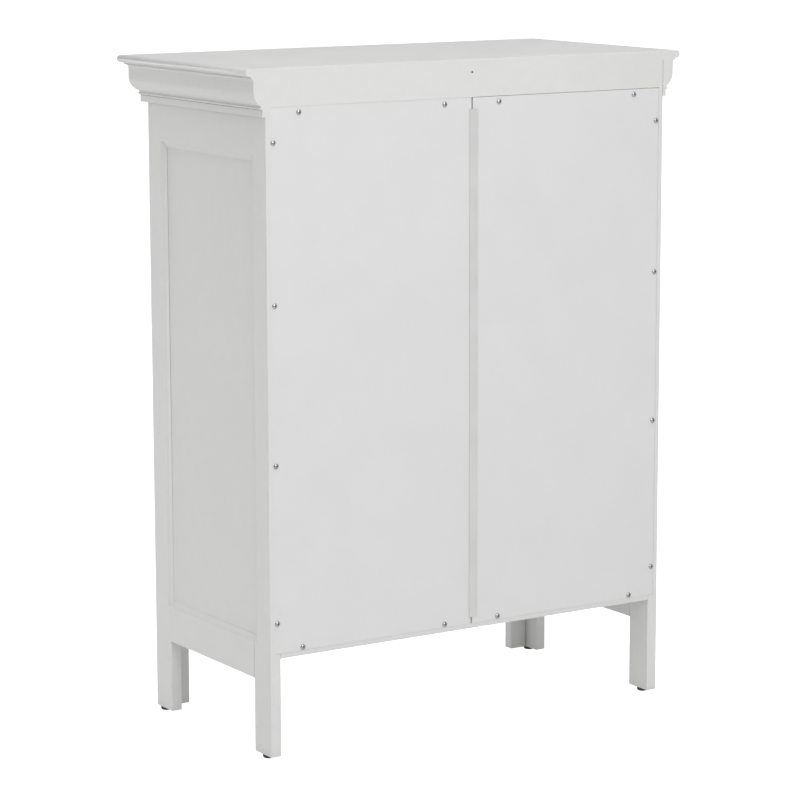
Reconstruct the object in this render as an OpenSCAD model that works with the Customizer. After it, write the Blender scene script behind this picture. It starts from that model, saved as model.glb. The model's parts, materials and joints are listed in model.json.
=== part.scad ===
// Two-door armoire cabinet on four legs, with a moulded cornice.
// Origin: centre of the footprint on the floor. Doors face -Y, +Z is up, +X is the right-hand side.

/* [Cabinet] */
// Width over the two side frames
body_w = 606; // [500:1:900]
// Depth from the front of the legs to the back of the legs
body_d = 302; // [250:1:450]
// Height from the floor to the top surface
body_h = 870.5; // [700:0.5:1200]
// Floor gap under the lower rails, measured from the leg ends
leg_clear = 95; // [60:1:160]
// Full width of each leg and stile
leg_w = 41; // [38:1:60]

/* [Boards] */
// Thickness of frames, shelves and carcass boards
board_t = 15; // [14:0.5:19]
// Thickness of the two back panels
back_t = 3; // [2.5:0.5:3]
// Depth of the rebate that holds the back panels
rebate_d = 3.2; // [3:0.1:4.6]
// Width of the solid lip outside that rebate
rebate_lip = 6.5; // [5:0.5:8]
// Height of the lower rails' flat face
lower_rail_h = 47; // [44:1:80]
// Height of the upper rails' flat face below the cornice
upper_rail_h = 48.5; // [40:0.5:80]
// Height of the bottom board above the rails' lower edge
floor_rise = 31.8; // [20:0.1:34]

/* [Framed panels] */
// Thickness of the recessed panels
panel_t = 6; // [5:0.5:7]
// Distance of the panel face behind the frame face
panel_set = 5.4; // [4.5:0.1:6.5]
// Width of the hollow moulded into the inner edge of the frames
hollow_w = 8; // [6:0.5:11]
// Step from the bottom of the hollow down to the panel
hollow_step = 0.4; // [0.2:0.1:1]
// Slope of the hollow where it meets the panel, in degrees
hollow_end = 8; // [5:1:12]
// Depth of the groove that holds a panel
groove_d = 6; // [4:0.5:9]
// Play between a panel edge and the bottom of its groove
panel_play = 0.5; // [0.2:0.1:1.5]

/* [Cornice] */
// Thickness of the top slab
slab_t = 12; // [12:0.5:18]
// Height of the moulding under the slab
crown_h = 48; // [44:1:60]
// Overhang of the slab past the sides
nose_out = 27; // [24:0.5:36]
// Thickness added behind the front moulding
front_pack = 6; // [2:0.5:12]
// Radius of the rounded slab edge
nose_r = 5; // [3:0.5:5]
// Diameter of the wall-strap hole in the rear rail
strap_hole = 3; // [2:0.5:5]

/* [Doors] */
// Gap round each door
door_gap = 2; // [1.5:0.1:3]
// Length of a hinge
hinge_len = 50; // [40:1:70]
// Outside radius of the hinge barrel
barrel_r = 3; // [2.5:0.1:4]
// Radius of the hinge pin
pin_r = 1.4; // [1:0.1:1.6]
// Radial play of a door knuckle on its pin
pin_play = 0.08; // [0.05:0.01:0.1]
// Gap between turning and fixed hinge faces
hinge_gap = 0.3; // [0.3:0.05:0.6]
// Thickness of the hinge leaves
leaf_t = 1.2; // [1:0.1:1.5]
// Distance from the door's end to the middle of its hinge
hinge_inset = 75; // [45:1:110]
// Radius of the knob's round head
knob_r = 14; // [10:0.5:18]
// Distance the knob stands out of the door
knob_out = 24; // [20:0.5:27]

/* [Inside] */
// Spacing of the shelf pin holes
hole_pitch = 32; // [25:1:50]
// Diameter of the shelf pin holes
pin_hole = 5; // [4:0.5:6]
// Gap at each end of a shelf
shelf_gap = 1.5; // [0.5:0.1:3]

/* [Feet] */
// Height of the round glides under the legs
glide_h = 4.5; // [3:0.5:8]
// Radius of the glides
glide_r = 7.3; // [5:0.1:7.5]

/* [Hidden] */
$fn = 64;

// Small overshoot that lets cutters pass through a face
eps = 1;

// Width of the flat step under the rounded edge of the top slab
nose_step = 2;

// Screws, shared by every screw of the same kind
pan_r = 3.5;
pan_h = 2.2;
screw_r = 1.4;
screw_len = 12;
csk_r = screw_r + leaf_t;
recess_w = 0.8;

// Depth positions: the screw heads are the rearmost points, the slab nose the foremost
head_proud = pan_h - (rebate_d - back_t);
total_d = body_d + front_pack + nose_out + head_proud;
y_back = total_d / 2 - head_proud;
y_front = y_back - body_d;
y_inner = y_front + board_t;
y_crown = y_front - front_pack;
y_rebate = y_back - rebate_d;

// Width positions, measured from the middle
x_side = body_w / 2;
x_in = x_side - board_t;
x_open = x_side - leg_w;

// Heights
z_rails = glide_h + leg_clear;
z_win_low = z_rails + lower_rail_h;
z_slab = body_h - slab_t;
z_crown = z_slab - crown_h;
z_win_high = z_crown - upper_rail_h;
z_floor = z_rails + floor_rise;
z_floor_top = z_floor + board_t;
z_ceiling = z_crown - 3;
z_ceiling_top = z_ceiling + board_t;

// Circular arc of the hollow, from its outer edge in the face down to the step at the panel
hollow_d = panel_set - hollow_step;
hollow_chord = norm([hollow_w, hollow_d]);
hollow_r = hollow_chord / (2 * sin(atan(hollow_d / hollow_w) - hollow_end));

// Side window, between the outer edges of the hollow: front to back, then low to high
side_win = [leg_w - hollow_w, body_d - leg_w + hollow_w, z_win_low, z_win_high];
side_groove = [z_rails + 8, z_slab - 8];

// Back panels
panel_z0 = z_floor + rebate_lip;
back_gap = 0.5;
back_snug = 0.1;
strip_w = 12.5;
strip_t = 1;
strip_play = 0.7;
strip_off = 2.5;
back_screw_x = x_side - (rebate_lip + board_t) / 2;
back_screw_z = [panel_z0 + 39, z_ceiling_top - 43.5];
back_row_x = [41.5, x_side - 47.5];
row_low_z = (panel_z0 + z_floor_top) / 2;
row_high_z = z_ceiling + board_t / 2;

// Doors
door_w = x_open - 1.5 * door_gap;
door_z0 = z_floor_top + door_gap;
door_z1 = z_win_high - door_gap;
door_edge = leg_w - hollow_w;
door_win = [door_edge, door_w - door_edge, door_z0 + door_edge, door_z1 - door_edge];
door_groove = [door_z0 + 8, door_z1 - 8];
hinge_x = x_open - door_gap / 2;
hinge_y = y_front - barrel_r - hinge_gap;
hinge_z = [door_z0 + hinge_inset, door_z1 - hinge_inset];
leaf_sep = 0.2;
leaf_in = board_t - 3;
knuckles = 5;
knuckle_h = hinge_len / knuckles;
hinge_screw_y = y_front + leaf_in / 2;
hinge_screw_z = [-hinge_len / 3, hinge_len / 3];
knob_x = door_gap / 2 + leg_w / 2;
knob_z = (door_z0 + door_z1) / 2;
knob_screw_r = 2;

// Magnetic catch behind the upper rail
catch_w = 56;
catch_drop = 14;
catch_deep = 13;
flange_h = 16;
flange_t = 3;
strike_t = leaf_t;
strike_w = 16;
strike_h = 12;
strike_x = 14;
catch_y = y_inner + strike_t + hinge_gap;
strike_z = z_win_high - catch_drop + strike_h / 2 + 0.5;
magnet_in = 5;

// Shelves on pins
shelf_front = y_inner + 7;
shelf_back = y_back - 9.5;
pin_y = [y_front + 28, y_back - 28];
pin_z0 = z_floor_top + 104;
pin_count = floor((z_ceiling - pin_z0 - 140) / hole_pitch) + 1;
lower_row = floor(pin_count / 4);
upper_row = floor(pin_count * 3 / 4);
pin_play_r = 0.05;
pin_in = 8;
pin_out = 7;
pin_rest = 1;

// Knock-down fittings in the ends of the two fixed boards
cam_r = 7.5;
cam_h = 12;
cam_in = 24;
bolt_r = 3;
bolt_in = 10;
cam_inset = leg_w - groove_d - bolt_r - 2;
cam_y = [y_front + cam_inset, y_back - cam_inset];
dowel_r = 3;
dowel_y = [y_inner + dowel_r + 1.5, y_back - 15.5];
dowel_side = 9;
dowel_board = cam_in - cam_r - 1;

// Feet
glide_y = [y_front + 11.5, y_back - 20];
glide_x = x_side - board_t / 2;
nail_r = 1.2;
nail_len = 15;

// Colours
white = [0.93, 0.93, 0.92];
inner_white = [0.90, 0.90, 0.89];
metal = [0.72, 0.72, 0.72];
dark = [0.15, 0.15, 0.15];
beech = [0.80, 0.66, 0.47];

// Height of one shelf pin hole
function pin_z(i) = pin_z0 + i * hole_pitch;

// Height of one of the four back screws down each side
function side_screw_z(i) = back_screw_z[0] + i * (back_screw_z[1] - back_screw_z[0]) / 3;

// Height of the lower end of a hinge knuckle above the middle of the hinge
function knuckle_z(k) = k * knuckle_h - hinge_len / 2;

// Copies the children to the other side of the middle plane as well
module both_sides() {
  children();
  mirror([1, 0, 0])
    children();
}

// Places a frame drawn in the XZ plane on the right-hand side of the cabinet
module on_right_side() {
  translate([x_side, y_front, 0])
    rotate([0, 0, 90])
      children();
}

// Places a door drawn in the XZ plane, its hinge edge at the left
module on_left_door() {
  translate([-x_open + door_gap, y_front, 0])
    children();
}

// Hollow at the low end of a window cut, its outer edge at the origin
module hollow() {
  intersection() {
    translate([hollow_w + hollow_r * sin(hollow_end), hollow_d - hollow_r * cos(hollow_end)])
      circle(r = hollow_r);
    translate([0, -eps])
      square([hollow_w, hollow_d + eps]);
  }
}

// Cross-section of the window cut between a and b, across the frame face
module hollowed(a, b) {
  translate([a + hollow_w, -eps])
    square([b - a - 2 * hollow_w, hollow_d + eps]);
  translate([a, 0])
    hollow();
  translate([b, 0])
    mirror([1, 0])
      hollow();
}

// Window cut with four hollow, mitred edges
module window_cut(win) {
  intersection() {
    translate([0, 0, win[2]])
      linear_extrude(win[3] - win[2])
        hollowed(win[0], win[1]);
    translate([win[1], 0, 0])
      rotate([0, -90, 0])
        linear_extrude(win[1] - win[0])
          hollowed(win[2], win[3]);
  }
}

// Upright of a framed panel; near is the one at the low end of the window
module stile(win, near, edge, v0, v1, groove) {
  inner = near ? win[0] + hollow_w : win[1] - hollow_w;
  difference() {
    translate([min(edge, inner), 0, v0])
      cube([abs(inner - edge), board_t, v1 - v0]);
    window_cut(win);
    translate([near ? inner - groove_d : inner - eps, panel_set, groove[0]])
      cube([groove_d + eps, panel_t, groove[1] - groove[0]]);
  }
}

// Cross piece of a framed panel, with a tongue at each end and a groove for the panel
module rail(win, low, edge, groove) {
  u0 = win[0] + hollow_w;
  u1 = win[1] - hollow_w;
  inner = low ? win[2] + hollow_w : win[3] - hollow_w;
  tongue0 = low ? groove[0] : inner + groove_d;
  tongue1 = low ? inner - groove_d : groove[1];
  difference() {
    union() {
      translate([u0, 0, min(edge, inner)])
        cube([u1 - u0, board_t, abs(edge - inner)]);
      translate([u0 - groove_d, panel_set, tongue0])
        cube([u1 - u0 + 2 * groove_d, panel_t, tongue1 - tongue0]);
    }
    window_cut(win);
    translate([u0 - eps, panel_set, low ? inner - groove_d : inner - eps])
      cube([u1 - u0 + 2 * eps, panel_t, groove_d + eps]);
  }
}

// Loose panel held in the grooves of its frame
module loose_panel(win) {
  reach = hollow_w - groove_d + panel_play;
  translate([win[0] + reach, panel_set, win[2] + reach])
    cube([win[1] - win[0] - 2 * reach, panel_t, win[3] - win[2] - 2 * reach]);
}

// Cross recess cut in a screw head at z = 0, going down
module cross_recess(depth, reach) {
  for (turn = [0, 90])
    rotate([0, 0, turn])
      translate([-reach, -recess_w / 2, -depth])
        cube([2 * reach, recess_w, depth + eps]);
}

// Countersunk screw pointing down, its flat head at z = 0
module csk_screw() {
  difference() {
    union() {
      translate([0, 0, -leaf_t])
        cylinder(h = leaf_t, r1 = screw_r, r2 = csk_r);
      translate([0, 0, 3 - screw_len])
        cylinder(h = screw_len - 3, r = screw_r);
      translate([0, 0, -screw_len])
        cylinder(h = 3, r1 = 0.3, r2 = screw_r);
    }
    cross_recess(0.7, 1.5);
  }
}

// Seat of a countersunk screw
module csk_seat() {
  translate([0, 0, -leaf_t])
    cylinder(h = leaf_t, r1 = screw_r, r2 = csk_r);
  translate([0, 0, -leaf_t / 2])
    cylinder(h = leaf_t / 2 + eps, r = screw_r);
  translate([0, 0, -screw_len - 0.5])
    cylinder(h = screw_len, r = screw_r);
}

// Pan-head screw pointing down, the underside of its head at z = 0
module pan_screw() {
  difference() {
    union() {
      intersection() {
        translate([0, 0, pan_h - 4.5])
          sphere(r = 4.5);
        cylinder(h = pan_h, r = pan_r);
      }
      translate([0, 0, 3 - screw_len])
        cylinder(h = screw_len - 3, r = screw_r);
      translate([0, 0, -screw_len])
        cylinder(h = 3, r1 = 0.3, r2 = screw_r);
    }
    translate([0, 0, pan_h])
      cross_recess(1, 1.9);
  }
}

// Puts its children at every back screw, pointing into the cabinet
module at_back_screws(rows = true, sides = true) {
  if (sides)
    for (i = [0:3])
      translate([back_screw_x, y_rebate + back_t, side_screw_z(i)])
        rotate([-90, 0, 0])
          children();
  if (rows)
    for (x = back_row_x, z = [row_low_z, row_high_z])
      translate([x, y_rebate + back_t, z])
        rotate([-90, 0, 0])
          children();
}

// Hole for the shank of a back screw
module back_screw_hole() {
  translate([0, 0, -screw_len - 0.5])
    cylinder(h = screw_len + 1, r = screw_r);
}

// Rows of shelf pin holes in the inner face of a right-hand stile
module shelf_holes(y) {
  for (i = [0:pin_count - 1])
    translate([x_in - eps, y, pin_z(i)])
      rotate([0, 90, 0])
        cylinder(h = pin_in + eps + 0.5, r = pin_hole / 2);
}

// Bolt and dowel holes for the two fixed boards, in a right-hand stile
module board_holes(i) {
  for (z = [z_floor + board_t / 2, z_ceiling + board_t / 2]) {
    translate([x_in - eps, cam_y[i], z])
      rotate([0, 90, 0])
        cylinder(h = bolt_in + eps, r = bolt_r);
    translate([x_in - eps, dowel_y[i], z])
      rotate([0, 90, 0])
        cylinder(h = dowel_side + eps, r = dowel_r);
  }
}

// Nail hole under a leg
module nail_hole(i) {
  translate([glide_x, glide_y[i], glide_h - eps])
    cylinder(h = nail_len + eps, r = nail_r);
}

// Rear leg and stile of the right-hand side
module rear_stile() {
  difference() {
    on_right_side()
      stile(side_win, false, body_d, glide_h, z_slab, side_groove);
    translate([x_in - eps, y_rebate, panel_z0])
      cube([board_t - rebate_lip + eps, rebate_d + eps, z_ceiling_top - panel_z0]);
    at_back_screws(rows = false)
      back_screw_hole();
    shelf_holes(pin_y[1]);
    board_holes(1);
    nail_hole(1);
  }
}

// Front leg and stile of the right-hand side
module front_stile() {
  difference() {
    on_right_side()
      stile(side_win, true, 0, glide_h, z_slab, side_groove);
    shelf_holes(pin_y[0]);
    board_holes(0);
    nail_hole(0);
  }
}

module right_rear_stile() {
  color(white)
    rear_stile();
}

module left_rear_stile() {
  color(white)
    mirror([1, 0, 0])
      rear_stile();
}

module right_front_stile() {
  color(white)
    front_stile();
}

module left_front_stile() {
  color(white)
    mirror([1, 0, 0])
      front_stile();
}

module right_upper_rail() {
  color(white)
    on_right_side()
      rail(side_win, false, z_slab, side_groove);
}

module left_upper_rail() {
  color(white)
    mirror([1, 0, 0])
      right_upper_rail();
}

module right_lower_rail() {
  color(white)
    on_right_side()
      rail(side_win, true, z_rails, side_groove);
}

module left_lower_rail() {
  color(white)
    mirror([1, 0, 0])
      right_lower_rail();
}

module right_side_panel() {
  color(inner_white)
    on_right_side()
      loose_panel(side_win);
}

module left_side_panel() {
  color(inner_white)
    mirror([1, 0, 0])
      right_side_panel();
}

// Front half of an L-shaped leg, with pockets for the hinge leaves
module front_post() {
  difference() {
    translate([x_open, y_front, glide_h])
      cube([x_in - x_open, board_t, z_slab - glide_h]);
    for (z = hinge_z) {
      translate([x_open - eps, y_front - eps, z - hinge_len / 2])
        cube([leaf_pocket() + eps, leaf_in + eps, hinge_len]);
      for (dz = hinge_screw_z)
        translate([hinge_x + leaf_sep, hinge_screw_y, z + dz])
          rotate([0, -90, 0])
            csk_seat();
    }
  }
}

// Depth that a hinge leaf sinks into the wood beside the gap
function leaf_pocket() = leaf_sep + leaf_t - door_gap / 2;

module right_front_post() {
  color(white)
    front_post();
}

module left_front_post() {
  color(white)
    mirror([1, 0, 0])
      front_post();
}

// Rail over the doors, reaching up behind the cornice
module front_upper_rail() {
  color(white)
    difference() {
      translate([-x_open, y_front, z_win_high])
        cube([2 * x_open, board_t, z_slab - z_win_high]);
      at_catch_screws()
        csk_seat();
    }
}

module front_lower_rail() {
  color(white)
    translate([-x_open, y_front, z_rails])
      cube([2 * x_open, board_t, z_floor_top - z_rails]);
}

// Cam, bolt and dowel bores in the right-hand end of a fixed board; up is the cam side
module fitting_bores(z, up) {
  for (i = [0, 1]) {
    translate([x_in - cam_in, cam_y[i], up ? z + board_t - cam_h : z - eps])
      cylinder(h = cam_h + eps, r = cam_r);
    translate([x_in - cam_in, cam_y[i], z + board_t / 2])
      rotate([0, 90, 0])
        cylinder(h = cam_in + eps, r = bolt_r + 0.5);
    translate([x_in - dowel_board, dowel_y[i], z + board_t / 2])
      rotate([0, 90, 0])
        cylinder(h = dowel_board + eps, r = dowel_r);
  }
}

module bottom_board() {
  color(inner_white)
    difference() {
      translate([-x_in, y_inner, z_floor])
        cube([2 * x_in, y_back - y_inner, board_t]);
      translate([-x_in - eps, y_rebate, panel_z0])
        cube([2 * x_in + 2 * eps, rebate_d + eps, board_t]);
      both_sides() {
        fitting_bores(z_floor, false);
        at_back_screws(sides = false)
          back_screw_hole();
      }
    }
}

module carcass_top_board() {
  color(inner_white)
    difference() {
      translate([-x_in, y_inner, z_ceiling])
        cube([2 * x_in, y_rebate - y_inner, board_t]);
      both_sides() {
        fitting_bores(z_ceiling, true);
        at_back_screws(sides = false)
          back_screw_hole();
      }
    }
}

// Loose shelf lying on four pins
module shelf(row) {
  translate([-x_in + shelf_gap, shelf_front, pin_z(row) + pin_rest])
    cube([2 * (x_in - shelf_gap), shelf_back - shelf_front, board_t]);
}

module upper_shelf() {
  color(inner_white)
    shelf(upper_row);
}

module lower_shelf() {
  color(inner_white)
    shelf(lower_row);
}

// Shelf pin pointing to +X: shank in the stile, collar against it, flat spoon under the shelf
module shelf_pin() {
  rotate([0, 90, 0])
    cylinder(h = pin_in, r = pin_hole / 2 - pin_play_r);
  translate([-1, 0, 0])
    rotate([0, 90, 0])
      intersection() {
        cylinder(h = 1, r = 4);
        translate([-pin_rest, -4, 0])
          cube([pin_rest + 4, 8, 1]);
      }
  translate([-pin_out, -3.5, -1])
    cube([pin_out - 1, 7, 1 + pin_rest]);
  translate([-1.5, 0, 0])
    rotate([90, 0, 0])
      linear_extrude(2, center = true)
        polygon([[0, -1], [0, -4], [0.5, -4], [0.5, 0], [-4, -1]]);
}

module shelf_pins() {
  color(metal)
    both_sides()
      for (row = [lower_row, upper_row], y = pin_y)
        translate([x_in, y, pin_z(row)])
          shelf_pin();
}

// One of the two thin panels that close the back, with its own gap at the top
module back_panel(top_gap) {
  inner = strip_t / 2 + strip_play;
  low = panel_z0 + back_snug;
  difference() {
    translate([inner, y_rebate, low])
      cube([x_side - rebate_lip - back_snug - inner, back_t, z_ceiling_top - top_gap - low]);
    at_back_screws()
      back_screw_hole();
  }
}

module right_back_panel() {
  color(white)
    back_panel(back_snug);
}

module left_back_panel() {
  color(white)
    mirror([1, 0, 0])
      back_panel(back_gap);
}

// H-section strip that joins the two back panels between the fixed boards
module back_joint_strip() {
  h = z_ceiling - z_floor_top;
  color([0.88, 0.88, 0.87])
    translate([0, 0, z_floor_top]) {
      for (y = [y_rebate - strip_t, y_rebate + back_t])
        translate([-strip_w / 2 - strip_off, y, 0])
          cube([strip_w, strip_t, h]);
      translate([-strip_t / 2, y_rebate - strip_t, 0])
        cube([strip_t, back_t + 2 * strip_t, h]);
    }
}

module back_screws() {
  color(metal)
    both_sides()
      at_back_screws()
        pan_screw();
}

// Rail across the back under the slab, with the wall-strap hole in its middle
module rear_upper_rail() {
  color(white)
    difference() {
      translate([-x_in, y_back - board_t, z_ceiling_top])
        cube([2 * x_in, board_t, z_slab - z_ceiling_top]);
      translate([0, y_back - board_t + 3, z_slab - 4.5])
        rotate([-90, 0, 0])
          cylinder(h = board_t, r = strap_hole / 2);
    }
}

// Right half of the slab's cross-section edge: rounded nose over a short step; b is the base half-width
module slab_edge(b) {
  square([b + nose_out - nose_r - nose_step, slab_t]);
  translate([0, slab_t - 2 * nose_r])
    square([b + nose_out - nose_r, 2 * nose_r]);
  translate([b + nose_out - nose_r, slab_t - nose_r])
    circle(r = nose_r);
}

// Top slab with a nose on the front and both sides and a plain back
module top_slab() {
  color(white)
    translate([0, 0, z_slab])
      intersection() {
        translate([0, y_back, 0])
          rotate([90, 0, 0])
            linear_extrude(y_back - y_crown + nose_out)
              both_sides()
                slab_edge(x_side);
        translate([-x_side - nose_out, y_back, 0])
          rotate([90, 0, 90])
            linear_extrude(2 * (x_side + nose_out))
              mirror([1, 0, 0])
                slab_edge(y_back - y_crown);
      }
}

// Crown moulding cross-section: flat band, groove, bead, convex swell, upright face and a small cove
module crown_profile(pack) {
  band = 5;
  groove = 4.5;
  bead_r = 1.75;
  bead_z = 11;
  neck = 6.2;
  foot = 7;
  foot_z = 14.5;
  face = 16;
  swell_z = 30.5;
  swell_r = (pow(face - foot, 2) + pow(swell_z - foot_z, 2)) / (2 * (face - foot));
  cove_r = nose_out - nose_r - nose_step - face;
  translate([-pack, 0])
    square([pack + band, 9]);
  translate([-pack, 8])
    square([pack + groove, bead_z - 8]);
  translate([foot - bead_r, bead_z])
    circle(r = bead_r);
  translate([-pack, bead_z])
    square([pack + neck, swell_z - bead_z]);
  intersection() {
    translate([-pack, foot_z])
      square([pack + face, swell_z - foot_z]);
    translate([face - swell_r, swell_z])
      circle(r = swell_r);
  }
  difference() {
    translate([-pack, swell_z])
      square([pack + face + cove_r, crown_h - swell_z]);
    translate([face, 0])
      square([cove_r + eps, crown_h - cove_r]);
    translate([face + cove_r, crown_h - cove_r])
      circle(r = cove_r);
  }
}

module right_crown() {
  color(white)
    translate([0, 0, z_crown])
      intersection() {
        translate([x_side, y_back, 0])
          rotate([90, 0, 0])
            linear_extrude(y_back - y_crown + nose_out)
              crown_profile(0);
        linear_extrude(crown_h)
          polygon([[x_side, y_back], [x_side + nose_out, y_back],
                   [x_side + nose_out, y_crown - nose_out], [x_side, y_crown]]);
      }
}

module left_crown() {
  color(white)
    mirror([1, 0, 0])
      right_crown();
}

module front_crown() {
  far = x_side + nose_out;
  color(white)
    translate([0, 0, z_crown])
      intersection() {
        translate([-far, y_crown, 0])
          rotate([90, 0, 90])
            linear_extrude(2 * far)
              mirror([1, 0, 0])
                crown_profile(front_pack);
        linear_extrude(crown_h)
          polygon([[-x_side, y_front], [-x_side, y_crown], [-far, y_crown - nose_out],
                   [far, y_crown - nose_out], [x_side, y_crown], [x_side, y_front]]);
      }
}

// Glued three-cornered blocks between the carcass top board and the slab
module corner_blocks() {
  leg = leg_w - board_t + 6;
  color(beech)
    both_sides()
      translate([0, 0, z_ceiling_top])
        linear_extrude(z_slab - z_ceiling_top)
          for (corner = [[y_inner, 1], [y_back - board_t, -1]])
            polygon([[x_in, corner[0]], [x_in - leg, corner[0]], [x_in, corner[0] + corner[1] * leg]]);
}

// Round nail-on glides under the four legs
module leg_glides() {
  color(dark)
    both_sides()
      for (y = glide_y)
        translate([glide_x, y, 0]) {
          cylinder(h = 1.2, r1 = glide_r - 1.2, r2 = glide_r);
          translate([0, 0, 1.2])
            cylinder(h = glide_h - 1.2, r = glide_r);
          translate([0, 0, glide_h])
            cylinder(h = nail_len - 3, r = nail_r);
          translate([0, 0, glide_h + nail_len - 3])
            cylinder(h = 2.8, r1 = nail_r, r2 = 0.2);
        }
}

// Places its children at the two catch screws, pointing towards the front
module at_catch_screws() {
  for (x = [-catch_w / 2 + 8, catch_w / 2 - 8])
    translate([x, y_inner + flange_t, z_win_high + flange_h / 2 + 1])
      rotate([-90, 0, 0])
        children();
}

// Plastic body of the double magnetic catch
module catch_housing() {
  color([0.92, 0.92, 0.90])
    difference() {
      union() {
        translate([-catch_w / 2, y_inner, z_win_high])
          cube([catch_w, flange_t, flange_h]);
        translate([-catch_w / 2, catch_y, z_win_high - catch_drop])
          cube([catch_w, catch_deep, catch_drop + 4]);
      }
      at_catch_screws()
        csk_seat();
      magnets();
    }
}

module magnets() {
  for (x = [-strike_x, strike_x])
    translate([x - strike_w / 2 + 1, catch_y - eps, strike_z - 4])
      cube([strike_w - 2, magnet_in + eps, 8]);
}

module catch_magnets() {
  color(dark)
    difference() {
      magnets();
      translate([-catch_w, catch_y - 2 * eps, strike_z - catch_drop])
        cube([2 * catch_w, 2 * eps, 2 * catch_drop]);
    }
}

// Places its children at the cams of the right-hand ends of both fixed boards
module at_cams() {
  for (y = cam_y) {
    translate([x_in - cam_in, y, z_floor])
      children();
    translate([x_in - cam_in, y, z_ceiling + board_t])
      rotate([180, 0, 0])
        children();
  }
}

// Round cam seen from its open side at z = 0, slotted for the bolt head
module cam() {
  difference() {
    translate([0, 0, 0.2])
      cylinder(h = cam_h - 0.2, r = cam_r - 0.05);
    translate([0, 0, board_t / 2])
      rotate([0, 90, 0])
        cylinder(h = cam_r + eps, r = bolt_r + 1);
    translate([0, 0, 0.2])
      rotate([180, 0, 0])
        cross_recess(2, 3);
  }
}

module cam_locks() {
  color(metal)
    both_sides()
      at_cams()
        cam();
}

// Cam bolt from the cam into the side stile
module cam_bolts() {
  color(metal)
    both_sides()
      at_cams()
        translate([2, 0, board_t / 2])
          rotate([0, 90, 0]) {
            cylinder(h = 2.5, r = bolt_r + 0.5);
            cylinder(h = 6, r = bolt_r - 1);
            translate([0, 0, 5])
              cylinder(h = cam_in - 7, r = bolt_r);
            translate([0, 0, cam_in - 2])
              cylinder(h = bolt_in - 0.5, r = bolt_r);
          }
}

module wood_dowels() {
  color(beech)
    both_sides()
      for (y = dowel_y, z = [z_floor + board_t / 2, z_ceiling + board_t / 2])
        translate([x_in - dowel_board + 0.5, y, z])
          rotate([0, 90, 0])
            cylinder(h = dowel_board + dowel_side - 1, r = dowel_r);
}

// Places its children at the right-hand hinges, on the hinge axis
module at_hinges() {
  for (z = hinge_z)
    translate([hinge_x, hinge_y, z])
      children();
}

// Hinge leaf with its share of the knuckles, on the +X side of the axis; keep is 0 or 1
module hinge_leaf(keep, bore) {
  difference() {
    union() {
      translate([leaf_sep, 0, -hinge_len / 2])
        cube([leaf_t, y_front + leaf_in - hinge_y, hinge_len]);
      for (k = [keep:2:knuckles - 1])
        translate([0, 0, knuckle_z(k)])
          cylinder(h = knuckle_h, r = barrel_r);
    }
    translate([0, 0, -hinge_len / 2 - eps])
      cylinder(h = hinge_len + 2 * eps, r = bore);
    for (k = [1 - keep:2:knuckles - 1])
      translate([0, 0, knuckle_z(k) - (k == 0 ? eps : hinge_gap / 2)])
        cylinder(h = knuckle_h + hinge_gap / 2 + (k == 0 || k == knuckles - 1 ? eps : hinge_gap / 2),
                 r = barrel_r + hinge_gap);
    for (dz = hinge_screw_z)
      translate([leaf_sep, hinge_screw_y - hinge_y, dz])
        rotate([0, -90, 0])
          csk_seat();
  }
}

module hinge_frame_leaves() {
  color(metal)
    both_sides()
      at_hinges()
        hinge_leaf(0, pin_r);
}

module hinge_pins() {
  color(metal)
    both_sides()
      at_hinges() {
        translate([0, 0, -hinge_len / 2])
          cylinder(h = hinge_len, r = pin_r);
        for (end = [0, 1])
          mirror([0, 0, end])
            translate([0, 0, hinge_len / 2]) {
              cylinder(h = 1, r = barrel_r);
              translate([0, 0, 1])
                cylinder(h = 1.6, r1 = barrel_r - 0.6, r2 = 1.2);
            }
      }
}

module frame_screws() {
  color(metal) {
    both_sides()
      at_hinges()
        for (dz = hinge_screw_z)
          translate([leaf_sep, hinge_screw_y - hinge_y, dz])
            rotate([0, -90, 0])
              csk_screw();
    at_catch_screws()
      csk_screw();
  }
}

// Places its children at the strike plate's screw of the left-hand door, pointing to the front
module at_strike_screw() {
  translate([-strike_x, y_inner + strike_t, strike_z])
    rotate([-90, 0, 0])
      children();
}

// Places its children at the knob of the left-hand door, pointing out to the front
module at_knob() {
  translate([-knob_x, y_front, knob_z])
    rotate([90, 0, 0])
      children();
}

// Places its children at the door-side hinge screws of the left-hand door
module at_door_hinge_screws() {
  for (z = hinge_z, dz = hinge_screw_z)
    translate([-hinge_x + leaf_sep, hinge_screw_y, z + dz])
      rotate([0, -90, 0])
        children();
}

module door_hinge_stile() {
  color(white)
    difference() {
      on_left_door()
        stile(door_win, true, 0, door_z0, door_z1, door_groove);
      for (z = hinge_z)
        translate([-x_open + door_gap - eps, y_front - eps, z - hinge_len / 2])
          cube([leaf_pocket() + eps, leaf_in + eps, hinge_len]);
      at_door_hinge_screws()
        csk_seat();
    }
}

module door_meeting_stile() {
  color(white)
    difference() {
      on_left_door()
        stile(door_win, false, door_w, door_z0, door_z1, door_groove);
      at_strike_screw()
        csk_seat();
      at_knob()
        translate([0, 0, -board_t - eps])
          cylinder(h = board_t + 2 * eps, r = knob_screw_r + 0.2);
    }
}

module door_upper_rail() {
  color(white)
    on_left_door()
      rail(door_win, false, door_z1, door_groove);
}

module door_lower_rail() {
  color(white)
    on_left_door()
      rail(door_win, true, door_z0, door_groove);
}

module door_panel() {
  color(inner_white)
    on_left_door()
      loose_panel(door_win);
}

module door_hinge_leaves() {
  color(metal)
    mirror([1, 0, 0])
      at_hinges()
        mirror([1, 0, 0])
          hinge_leaf(1, pin_r + pin_play);
}

module door_screws() {
  color(metal) {
    at_door_hinge_screws()
      csk_screw();
    at_strike_screw()
      csk_screw();
  }
}

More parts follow.
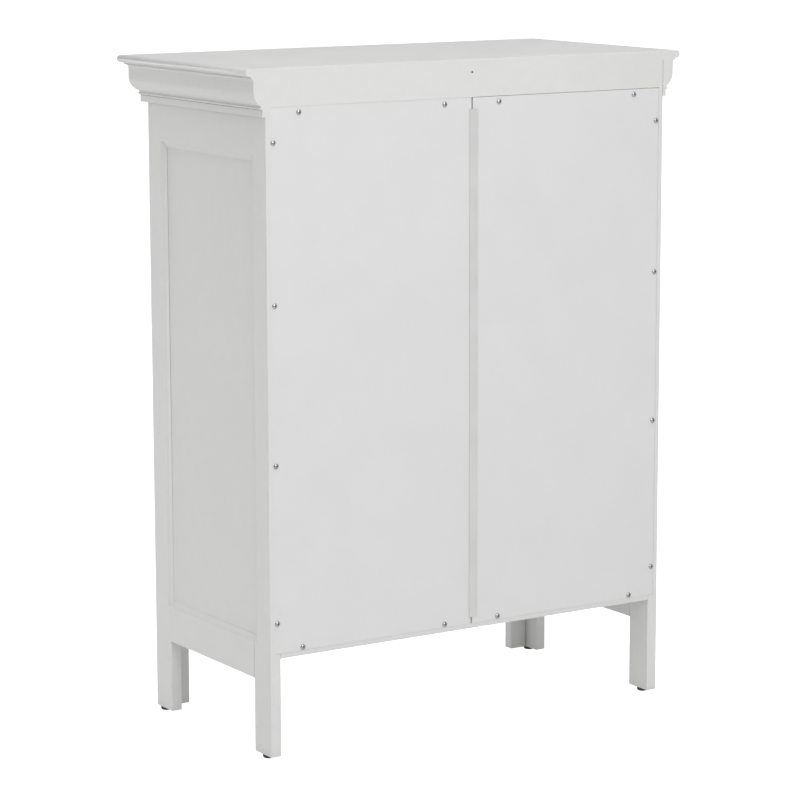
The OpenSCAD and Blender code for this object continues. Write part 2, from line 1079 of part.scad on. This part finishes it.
// Round mushroom knob with a flared foot and a threaded hole in its back
module door_knob() {
  head_z = knob_out - 7;
  color(metal)
    at_knob()
      difference() {
        rotate_extrude()
          intersection() {
            square([knob_r, knob_out]);
            union() {
              square([8, 2]);
              difference() {
                square([8, head_z]);
                translate([10.5, 7.5])
                  circle(r = 6);
                translate([6.5, 7.5])
                  square([8, head_z]);
              }
              translate([knob_r - 3, head_z])
                circle(r = 3);
              translate([0, head_z - 3])
                square([knob_r - 3, 4]);
              translate([0, knob_out - knob_r * 1.6])
                intersection() {
                  circle(r = knob_r * 1.6);
                  translate([0, head_z - knob_out + knob_r * 1.6])
                    square([knob_r - 1.2, 7]);
                }
            }
          }
        translate([0, 0, -eps])
          cylinder(h = 11 + eps, r = knob_screw_r);
      }
}

// Machine screw through the door into the knob
module door_knob_screw() {
  color(metal)
    at_knob()
      difference() {
        union() {
          translate([0, 0, -board_t - 2.4])
            cylinder(h = 2.4, r1 = 3.2, r2 = 4);
          translate([0, 0, -board_t])
            cylinder(h = board_t + 10, r = knob_screw_r);
        }
        translate([0, 0, -board_t - 2.4])
          rotate([180, 0, 0])
            cross_recess(1.2, 2.2);
      }
}

module door_strike() {
  color(metal)
    difference() {
      translate([-strike_x - strike_w / 2 + 1, y_inner, strike_z - strike_h / 2])
        cube([strike_w - 2, strike_t, strike_h]);
      at_strike_screw()
        csk_seat();
    }
}

module left_door_hinge_stile() {
  door_hinge_stile();
}

module left_door_meeting_stile() {
  door_meeting_stile();
}

module left_door_upper_rail() {
  door_upper_rail();
}

module left_door_lower_rail() {
  door_lower_rail();
}

module left_door_panel() {
  door_panel();
}

module left_door_hinge_leaves() {
  door_hinge_leaves();
}

module left_door_screws() {
  door_screws();
}

module left_door_knob() {
  door_knob();
}

module left_door_knob_screw() {
  door_knob_screw();
}

module left_door_strike() {
  door_strike();
}

module right_door_hinge_stile() {
  mirror([1, 0, 0])
    door_hinge_stile();
}

module right_door_meeting_stile() {
  mirror([1, 0, 0])
    door_meeting_stile();
}

module right_door_upper_rail() {
  mirror([1, 0, 0])
    door_upper_rail();
}

module right_door_lower_rail() {
  mirror([1, 0, 0])
    door_lower_rail();
}

module right_door_panel() {
  mirror([1, 0, 0])
    door_panel();
}

module right_door_hinge_leaves() {
  mirror([1, 0, 0])
    door_hinge_leaves();
}

module right_door_screws() {
  mirror([1, 0, 0])
    door_screws();
}

module right_door_knob() {
  mirror([1, 0, 0])
    door_knob();
}

module right_door_knob_screw() {
  mirror([1, 0, 0])
    door_knob_screw();
}

module right_door_strike() {
  mirror([1, 0, 0])
    door_strike();
}

right_rear_stile();
right_front_stile();
right_upper_rail();
right_lower_rail();
right_side_panel();
left_rear_stile();
left_front_stile();
left_upper_rail();
left_lower_rail();
left_side_panel();
right_front_post();
left_front_post();
front_upper_rail();
front_lower_rail();
bottom_board();
carcass_top_board();
upper_shelf();
lower_shelf();
shelf_pins();
right_back_panel();
left_back_panel();
back_joint_strip();
back_screws();
rear_upper_rail();
top_slab();
front_crown();
right_crown();
left_crown();
corner_blocks();
leg_glides();
catch_housing();
catch_magnets();
cam_locks();
cam_bolts();
wood_dowels();
hinge_frame_leaves();
hinge_pins();
frame_screws();
left_door_hinge_stile();
left_door_meeting_stile();
left_door_upper_rail();
left_door_lower_rail();
left_door_panel();
left_door_hinge_leaves();
left_door_screws();
left_door_knob();
left_door_knob_screw();
left_door_strike();
right_door_hinge_stile();
right_door_meeting_stile();
right_door_upper_rail();
right_door_lower_rail();
right_door_panel();
right_door_hinge_leaves();
right_door_screws();
right_door_knob();
right_door_knob_screw();
right_door_strike();
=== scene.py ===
import json
import math

import bpy
from mathutils import Matrix, Vector
from mathutils.bvhtree import BVHTree

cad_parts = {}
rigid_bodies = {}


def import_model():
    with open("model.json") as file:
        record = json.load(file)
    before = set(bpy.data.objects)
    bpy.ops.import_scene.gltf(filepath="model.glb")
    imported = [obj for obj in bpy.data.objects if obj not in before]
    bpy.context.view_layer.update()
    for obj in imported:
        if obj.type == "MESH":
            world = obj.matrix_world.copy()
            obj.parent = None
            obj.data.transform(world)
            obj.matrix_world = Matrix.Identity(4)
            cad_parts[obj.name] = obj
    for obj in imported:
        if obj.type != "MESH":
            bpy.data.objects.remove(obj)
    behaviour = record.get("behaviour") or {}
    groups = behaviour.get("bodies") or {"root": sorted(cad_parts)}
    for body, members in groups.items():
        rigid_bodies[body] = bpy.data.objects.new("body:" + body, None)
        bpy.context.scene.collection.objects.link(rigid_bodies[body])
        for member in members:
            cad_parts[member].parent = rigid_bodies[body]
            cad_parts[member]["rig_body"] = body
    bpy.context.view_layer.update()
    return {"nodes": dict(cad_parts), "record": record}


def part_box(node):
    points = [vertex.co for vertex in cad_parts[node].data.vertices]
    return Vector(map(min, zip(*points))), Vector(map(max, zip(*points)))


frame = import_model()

NODES = frame["nodes"]
MM = 0.001

# ---------------------------------------------------------------- node graphs


class Graph:
    """A material's node tree, with short helpers for the nodes that are used often."""

    def __init__(self, name, colour, roughness, metallic=0.0):
        self.material = bpy.data.materials.new(name)
        self.material.use_nodes = True
        self.material.diffuse_color = (*colour, 1.0)
        self.tree = self.material.node_tree
        self.shader = self.tree.nodes["Principled BSDF"]
        self.shader.inputs["Base Color"].default_value = (*colour, 1.0)
        self.shader.inputs["Roughness"].default_value = roughness
        self.shader.inputs["Metallic"].default_value = metallic
        self.normal = None
        self.coords = self.add("ShaderNodeTexCoord").outputs["Object"]

    def add(self, kind, **settings):
        node = self.tree.nodes.new(kind)
        for key, value in settings.items():
            setattr(node, key, value)
        return node

    def link(self, source, target):
        self.tree.links.new(source, target)

    def stretched(self, scale):
        """Object coordinates, scaled apart along X, Y and Z."""
        mapping = self.add("ShaderNodeMapping")
        mapping.inputs["Scale"].default_value = scale
        self.link(self.coords, mapping.inputs["Vector"])
        return mapping.outputs["Vector"]

    def noise(self, scale, detail=2.0, rough=0.5, coords=None, distortion=0.0):
        """Noise of about one feature per 1/scale metres."""
        node = self.add("ShaderNodeTexNoise")
        node.inputs["Scale"].default_value = scale
        node.inputs["Detail"].default_value = detail
        node.inputs["Roughness"].default_value = rough
        node.inputs["Distortion"].default_value = distortion
        self.link(coords or self.coords, node.inputs["Vector"])
        return node.outputs["Fac"]

    def cells(self, scale, coords=None, feature="F1"):
        node = self.add("ShaderNodeTexVoronoi", feature=feature)
        node.inputs["Scale"].default_value = scale
        self.link(coords or self.coords, node.inputs["Vector"])
        return node.outputs["Distance"]

    def ranged(self, value, low, high, to_low, to_high):
        node = self.add("ShaderNodeMapRange")
        numbers = {"From Min": low, "From Max": high, "To Min": to_low, "To Max": to_high}
        for name, number in numbers.items():
            node.inputs[name].default_value = number
        self.link(value, node.inputs["Value"])
        return node.outputs["Result"]

    def mixed(self, factor, first, second, blend="MIX"):
        """Mixes two colours, each a number triple or a socket."""
        node = self.add("ShaderNodeMix", data_type="RGBA", blend_type=blend)
        for socket, value in ((node.inputs[6], first), (node.inputs[7], second)):
            if isinstance(value, tuple):
                socket.default_value = (*value, 1.0)
            else:
                self.link(value, socket)
        if isinstance(factor, float):
            node.inputs[0].default_value = factor
        else:
            self.link(factor, node.inputs[0])
        return node.outputs[2]

    def corners(self, distance, low=0.35, high=0.95):
        """1 in tight corners, falling to 0 in the open."""
        node = self.add("ShaderNodeAmbientOcclusion", samples=8)
        node.inputs["Distance"].default_value = distance
        return self.ranged(node.outputs["AO"], low, high, 1.0, 0.0)

    def bump(self, height, depth, strength=1.0):
        """Adds a relief of that depth in metres on top of any earlier one."""
        node = self.add("ShaderNodeBump")
        node.inputs["Strength"].default_value = strength
        node.inputs["Distance"].default_value = depth
        self.link(height, node.inputs["Height"])
        if self.normal:
            self.link(self.normal, node.inputs["Normal"])
        self.normal = node.outputs["Normal"]

    def finish(self, colour=None, roughness=None):
        if colour:
            self.link(colour, self.shader.inputs["Base Color"])
        if roughness:
            self.link(roughness, self.shader.inputs["Roughness"])
        if self.normal:
            self.link(self.normal, self.shader.inputs["Normal"])
        return self.material


def shade(colour, factor):
    return tuple(c * factor for c in colour)


# ---------------------------------------------------------------- materials

WHITE = (0.80, 0.80, 0.795)


def satin_paint(name, colour, worn=False):
    """Sprayed white lacquer on fibreboard: orange peel, a faint drift in tone, and painted shade that
    darkens its corners and creases.
    """
    g = Graph(name, colour, 0.4)
    g.shader.inputs["Coat Weight"].default_value = 0.12
    g.shader.inputs["Coat Roughness"].default_value = 0.22
    drift = g.noise(5.0, 3.0)
    tone = g.mixed(g.ranged(drift, 0.3, 0.7, 0.0, 1.0), shade(colour, 0.985), shade(colour, 1.01))
    mottle = g.ranged(g.noise(60.0, 4.0, 0.6), 0.35, 0.65, 0.0, 1.0)
    tone = g.mixed(mottle, tone, g.mixed(1.0, tone, (0.985, 0.984, 0.98), "MULTIPLY"))
    # Painted shade: the colour is darkened within 20 mm of corners and recesses, where less light
    # reaches.
    painted_corner_shade = g.corners(0.02)
    tone = g.mixed(painted_corner_shade, tone, g.mixed(1.0, tone, (0.86, 0.855, 0.84), "MULTIPLY"))
    # Painted shade: a dark line in tight creases, such as under the moulding's band and the slab's nose,
    # where shadow falls.
    painted_crease_shade = g.corners(0.004, 0.45, 0.75)
    tone = g.mixed(painted_crease_shade, tone, g.mixed(1.0, tone, (0.60, 0.595, 0.58), "MULTIPLY"))
    if worn:
        rub = g.ranged(g.noise(140.0, 5.0, 0.7), 0.52, 0.62, 0.0, 1.0)
        tone = g.mixed(rub, tone, shade(colour, 0.93))
    g.bump(g.noise(520.0, 2.0, 0.55), 0.00005)
    g.bump(g.noise(90.0, 1.0), 0.00012, 0.6)
    gloss = g.ranged(g.noise(25.0, 4.0, 0.6), 0.3, 0.7, 0.34, 0.46)
    return g.finish(tone, gloss)


def laminate(name, colour):
    """White melamine foil with a faint pressed grain."""
    g = Graph(name, colour, 0.42)
    grain = g.noise(9.0, 6.0, 0.62, g.stretched((4.0, 60.0, 60.0)))
    tone = g.mixed(g.ranged(grain, 0.3, 0.7, 0.0, 1.0), shade(colour, 0.965), colour)
    # Painted shade: the colour is darkened within 30 mm of corners and recesses, where less light
    # reaches.
    painted_corner_shade = g.corners(0.03)
    tone = g.mixed(painted_corner_shade, tone, g.mixed(1.0, tone, (0.88, 0.875, 0.86), "MULTIPLY"))
    g.bump(grain, 0.00006)
    return g.finish(tone, g.ranged(grain, 0.3, 0.7, 0.38, 0.5))


def white_hardboard(name, colour):
    """Thin fibreboard with a rolled-on white face: faint fibre mottle and a dull sheen."""
    g = Graph(name, colour, 0.5)
    fibres = g.noise(700.0, 4.0, 0.7, g.stretched((1.0, 1.0, 0.35)))
    blotch = g.noise(14.0, 4.0, 0.55)
    tone = g.mixed(g.ranged(blotch, 0.3, 0.7, 0.0, 1.0), shade(colour, 0.982), shade(colour, 1.008))
    fleck = g.ranged(fibres, 0.35, 0.7, 0.0, 0.5)
    tone = g.mixed(fleck, tone, g.mixed(1.0, tone, (0.975, 0.972, 0.965), "MULTIPLY"))
    # Painted shade: the colour is darkened within 8 mm of corners, such as along the panel's joints,
    # where less light reaches.
    painted_corner_shade = g.corners(0.008)
    tone = g.mixed(painted_corner_shade, tone, g.mixed(1.0, tone, (0.84, 0.835, 0.82), "MULTIPLY"))
    g.bump(fibres, 0.00004)
    g.bump(g.noise(12.0, 2.0), 0.0006, 0.35)
    return g.finish(tone, g.ranged(fibres, 0.3, 0.7, 0.46, 0.58))


def moulded_plastic(name, colour, roughness):
    """Smooth moulded plastic with a fine spark grain."""
    g = Graph(name, colour, roughness)
    grain = g.noise(1800.0, 2.0, 0.6)
    cloud = g.ranged(g.noise(20.0, 3.0), 0.3, 0.7, 0.0, 1.0)
    tone = g.mixed(cloud, shade(colour, 0.95), shade(colour, 1.03))
    g.bump(grain, 0.00004)
    return g.finish(tone, g.ranged(g.noise(60.0, 3.0), 0.3, 0.7, roughness * 0.88, roughness * 1.15))


def plated_metal(name, colour, roughness, brushed):
    """Plated steel; brushed is the direction in which the fine scratches are stretched out."""
    g = Graph(name, colour, roughness, 1.0)
    lines = g.noise(900.0, 3.0, 0.65, g.stretched(brushed))
    cloud = g.noise(160.0, 4.0, 0.6)
    tone = g.mixed(g.ranged(cloud, 0.3, 0.7, 0.0, 1.0), shade(colour, 0.86), shade(colour, 1.06))
    # Painted shade: the colour is darkened strongly within 1.5 mm of crevices, such as round a screw head
    # where it meets the board.
    painted_crevice_shade = g.corners(0.0015)
    tone = g.mixed(painted_crevice_shade, tone, shade(colour, 0.25))
    g.bump(lines, 0.000015)
    return g.finish(tone, g.ranged(lines, 0.3, 0.7, roughness * 0.8, roughness * 1.3))


def ferrite(name):
    """Sintered magnet: charcoal with fine sparkle."""
    g = Graph(name, (0.05, 0.05, 0.055), 0.55)
    speck = g.cells(2500.0)
    tone = g.mixed(g.ranged(speck, 0.0, 0.5, 1.0, 0.0), (0.035, 0.035, 0.04), (0.12, 0.12, 0.125))
    g.bump(speck, 0.00004)
    return g.finish(tone)


def bare_beech(name):
    """Unfinished beech: stretched growth lines and short dark flecks."""
    g = Graph(name, (0.62, 0.43, 0.26), 0.6)
    rings = g.noise(30.0, 5.0, 0.6, g.stretched((0.5, 6.0, 6.0)), 0.6)
    flecks = g.cells(900.0, g.stretched((0.12, 1.0, 1.0)))
    tone = g.mixed(g.ranged(rings, 0.3, 0.7, 0.0, 1.0), (0.50, 0.33, 0.19), (0.70, 0.52, 0.34))
    tone = g.mixed(g.ranged(flecks, 0.0, 0.12, 0.7, 0.0), tone, (0.30, 0.17, 0.09))
    g.bump(rings, 0.0002, 0.5)
    return g.finish(tone, g.ranged(rings, 0.3, 0.7, 0.52, 0.68))


PAINT = satin_paint("satin_white_paint", WHITE)
PAINT_EDGE = satin_paint("satin_white_paint_edges", shade(WHITE, 1.02), worn=True)
PANEL_PAINT = satin_paint("satin_white_panel_paint", shade(WHITE, 0.99))
INNER = laminate("white_laminate", (0.78, 0.78, 0.772))
INNER_EDGE = moulded_plastic("white_edge_band", (0.78, 0.78, 0.77), 0.4)
BACK_BOARD = white_hardboard("white_hardboard", (0.80, 0.80, 0.80))
WHITE_PLASTIC = moulded_plastic("white_plastic", (0.70, 0.70, 0.695), 0.34)
BLACK_PLASTIC = moulded_plastic("dark_plastic", (0.045, 0.045, 0.045), 0.5)
ZINC = plated_metal("zinc_plate", (0.50, 0.51, 0.53), 0.24, (1.0, 1.0, 0.2))
NICKEL = plated_metal("satin_nickel", (0.60, 0.575, 0.53), 0.28, (0.25, 0.25, 1.0))
FERRITE = ferrite("ferrite")
BEECH = bare_beech("bare_beech")

FINISHES = {
    "painted_wood": (PAINT, PAINT_EDGE),
    "inner_board": (INNER, INNER_EDGE),
    "back_board": (BACK_BOARD, BACK_BOARD),
    "white_plastic": (WHITE_PLASTIC, WHITE_PLASTIC),
    "zinc_steel": (ZINC, ZINC),
    "satin_nickel": (NICKEL, NICKEL),
    "glide_plastic": (BLACK_PLASTIC, BLACK_PLASTIC),
    "magnet": (FERRITE, FERRITE),
    "raw_beech": (BEECH, BEECH),
}

# ---------------------------------------------------------------- eased edges


def solid_tree(obj):
    mesh = obj.data
    return BVHTree.FromPolygons([v.co for v in mesh.vertices], [tuple(p.vertices) for p in mesh.polygons])


# Rays that test whether a point is in a solid, turned a little so that they miss its straight edges
SKEWED_AXES = ((0.0123, 0.0071, 1.0), (1.0, 0.0317, 0.0533), (0.0419, -1.0, 0.0277))
PROBES = tuple(Vector(axis).normalized() for axis in SKEWED_AXES)
PAST_HIT = 0.001 * MM

# Vertices closer than this are one corner; the STEP meshes repeat them on every face
WELD = 0.002 * MM
MICRON = 0.001 * MM

# Edges that count: sharp ones of at least this length, sampled at these parts of it
SHARP = math.cos(math.radians(25.0))
SHORTEST = 6 * MM
SAMPLES = (0.1, 0.3, 0.5, 0.7, 0.9)

# A neighbour is flush if it fills the place just beyond the edge and just under the face
PROBE_OUT = 0.6 * MM
PROBE_IN = 0.3 * MM
NEAR = 2 * MM

# Radius of the rounded edges
BOARD_EASE = 0.9 * MM
MOULDING_EASE = 0.5 * MM


def crossings(tree, point, direction):
    """Number of faces that a ray from the point passes through."""
    count = 0
    start = point.copy()
    while True:
        hit, _, _, _ = tree.ray_cast(start, direction)
        if hit is None:
            return count
        count += 1
        start = hit + direction * PAST_HIT


def inside(tree, box, point):
    """True if the point lies in the closed mesh, by the majority of three rays."""
    if any(point[i] < box[0][i] or point[i] > box[1][i] for i in range(3)):
        return False
    odd = sum(crossings(tree, point, direction) % 2 for direction in PROBES)
    return odd * 2 > len(PROBES)


def is_flush(point, pair, neighbours):
    """True if a neighbour carries on one of the two faces that meet at this point of an edge."""
    for out, back in (pair, pair[::-1]):
        probe = point + out * PROBE_OUT - back * PROBE_IN
        if any(inside(tree, box, probe) for tree, box in neighbours):
            return True
    return False


def exposed_edges(obj, neighbours):
    """Indices of the sharp straight edges that no flush neighbour continues."""
    mesh = obj.data
    places = [tuple(round(c / MICRON) for c in v.co) for v in mesh.vertices]
    normals = {}
    for polygon in mesh.polygons:
        for a, b in polygon.edge_keys:
            normals.setdefault(frozenset((places[a], places[b])), []).append(polygon.normal)
    chosen = []
    for edge in mesh.edges:
        a, b = (mesh.vertices[i].co for i in edge.vertices)
        if (a - b).length < SHORTEST:
            continue
        pair = normals[frozenset(places[i] for i in edge.vertices)]
        if len(pair) != 2 or pair[0].dot(pair[1]) > SHARP:
            continue
        flush = sum(is_flush(a.lerp(b, t), pair, neighbours) for t in SAMPLES)
        if flush * 2 <= len(SAMPLES):
            chosen.append(edge.index)
    return chosen


def ease(name, neighbours, width):
    """Rounds the exposed edges of a CAD node with a bevel modifier; its vertices stay as they are."""
    obj = NODES[name]
    weight = obj.data.attributes.new("bevel_weight_edge", "FLOAT", "EDGE")
    for index in exposed_edges(obj, neighbours):
        weight.data[index].value = 1.0
    weld = obj.modifiers.new("weld", "WELD")
    weld.merge_threshold = WELD
    bevel = obj.modifiers.new("eased_edges", "BEVEL")
    bevel.limit_method = "WEIGHT"
    bevel.width = width
    bevel.segments = 3
    bevel.use_clamp_overlap = False
    bevel.material = 1
    tidy = obj.modifiers.new("flat_faces", "WEIGHTED_NORMAL")
    tidy.keep_sharp = True
    tidy.weight = 100


def near_trees(name, trees):
    """Trees and boxes of the pieces on the same body that lie within the reach of a probe."""
    body = NODES[name]["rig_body"]
    low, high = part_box(name)
    found = []
    for other, (tree, box) in trees.items():
        close = all(box[0][i] < high[i] + NEAR and box[1][i] > low[i] - NEAR for i in range(3))
        if other != name and NODES[other]["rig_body"] == body and close:
            found.append((tree, box))
    return found


def dress_frame():
    """Gives every CAD node the finish of its material slot, and eases the boards' edges."""
    slots = {s["node"]: s["material_slot"] for s in frame["record"]["subparts"]}
    for name, obj in NODES.items():
        obj.data.materials.clear()
        for material in FINISHES[slots[name]]:
            obj.data.materials.append(material)
    for name in ("right_side_panel", "left_side_panel", "left_door_panel", "right_door_panel"):
        NODES[name].data.materials[0] = PANEL_PAINT
    eased = [n for n, s in slots.items() if s in ("painted_wood", "inner_board")]
    backs = [n for n, s in slots.items() if s == "back_board"]
    trees = {n: (solid_tree(NODES[n]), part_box(n)) for n in eased + backs}
    for name in eased:
        moulded = "crown" in name or "slab" in name
        ease(name, near_trees(name, trees), MOULDING_EASE if moulded else BOARD_EASE)


# ---------------------------------------------------------------- stage, light and camera


# Strength of the white that the camera sees, and of the light that the floor and the sky give
SEEN_WHITE = 1.0
FLOOR_GLOW = 0.12
SKY_GLOW = 0.32
FLOOR_REACH = 30.0


def floor():
    """Pale floor, pure white to the camera; its own light is far weaker than that."""
    reach = FLOOR_REACH
    mesh = bpy.data.meshes.new("floor")
    corners = [(-reach, -reach, 0), (reach, -reach, 0), (reach, reach, 0), (-reach, reach, 0)]
    mesh.from_pydata(corners, [], [(0, 1, 2, 3)])
    obj = bpy.data.objects.new("floor", mesh)
    bpy.context.scene.collection.objects.link(obj)
    g = Graph("pale_floor", (0.75, 0.75, 0.75), 0.75)
    g.shader.inputs["Specular IOR Level"].default_value = 0.1
    g.shader.inputs["Emission Color"].default_value = (1.0, 1.0, 1.0, 1.0)
    seen = g.add("ShaderNodeLightPath").outputs["Is Camera Ray"]
    g.link(g.ranged(seen, 0.0, 1.0, FLOOR_GLOW, SEEN_WHITE), g.shader.inputs["Emission Strength"])
    mesh.materials.append(g.finish())


def soft_light(name, where, target, size, power):
    """Rectangular area light that faces its target and can't be seen by the camera."""
    data = bpy.data.lights.new(name, "AREA")
    data.shape = "RECTANGLE"
    data.size, data.size_y = size
    data.energy = power
    obj = bpy.data.objects.new(name, data)
    obj.location = where
    obj.rotation_euler = (Vector(target) - Vector(where)).to_track_quat("-Z", "Y").to_euler()
    obj.visible_camera = False
    bpy.context.scene.collection.objects.link(obj)


def studio():
    """Even white surroundings, and soft lights round the cabinet, the strongest above and behind it."""
    world = bpy.data.worlds.new("studio")
    world.use_nodes = True
    bpy.context.scene.world = world
    tree = world.node_tree
    back = tree.nodes["Background"]
    back.inputs["Color"].default_value = (1.0, 1.0, 1.0, 1.0)
    path = tree.nodes.new("ShaderNodeLightPath")
    level = tree.nodes.new("ShaderNodeMapRange")
    level.inputs["To Min"].default_value = SKY_GLOW
    level.inputs["To Max"].default_value = SEEN_WHITE
    tree.links.new(path.outputs["Is Camera Ray"], level.inputs["Value"])
    tree.links.new(level.outputs["Result"], back.inputs["Strength"])
    soft_light("back_key", (0.6, 2.4, 2.0), (0.0, 0.17, 0.5), (1.8, 1.6), 26.5)
    soft_light("back_low", (-0.3, 2.3, 0.4), (0.0, 0.17, 0.3), (2.0, 0.7), 2.0)
    soft_light("side_high", (2.4, -1.0, 1.7), (0.3, -0.05, 0.5), (1.4, 1.4), 5.0)
    soft_light("side_low", (1.6, -0.6, 0.2), (0.3, -0.05, 0.2), (0.9, 0.35), 2.3)
    soft_light("front_low", (0.0, -3.0, 0.45), (0.0, -0.17, 0.45), (2.6, 0.8), 14.0)
    soft_light("far_side_fill", (-3.2, 0.0, 1.2), (-0.3, 0.0, 0.5), (1.8, 1.8), 10.0)
    soft_light("top_soft", (0.0, 0.3, 3.4), (0.0, 0.0, 0.4), (3.0, 3.0), 50.0)
    bpy.context.scene.view_settings.view_transform = "Standard"
    bpy.context.scene.view_settings.look = "None"


# Turn, height and roll in degrees, focal length in millimetres, distance and target in metres
AZIMUTH = 147.35
ELEVATION = 9.904
ROLL = -0.131
LENS = 139.87
SENSOR = 36.0
DISTANCE = 4.1436
CLIP_END = 200.0
LOOK_AT = Vector((0.00185, -0.00168, 0.40896))


def camera():
    """Plain camera on the photograph's side of the cabinet, placed by its turn, height and distance."""
    data = bpy.data.cameras.new("camera")
    data.lens = LENS
    data.sensor_width = SENSOR
    data.clip_end = CLIP_END
    obj = bpy.data.objects.new("camera", data)
    a, e = math.radians(AZIMUTH), math.radians(ELEVATION)
    back = Vector((math.sin(a) * math.cos(e), -math.cos(a) * math.cos(e), math.sin(e)))
    turn = (-back).to_track_quat("-Z", "Y").to_matrix() @ Matrix.Rotation(math.radians(ROLL), 3, "Z")
    obj.matrix_world = Matrix.Translation(LOOK_AT + back * DISTANCE) @ turn.to_4x4()
    bpy.context.scene.collection.objects.link(obj)
    bpy.context.scene.camera = obj


dress_frame()
floor()
studio()
camera()
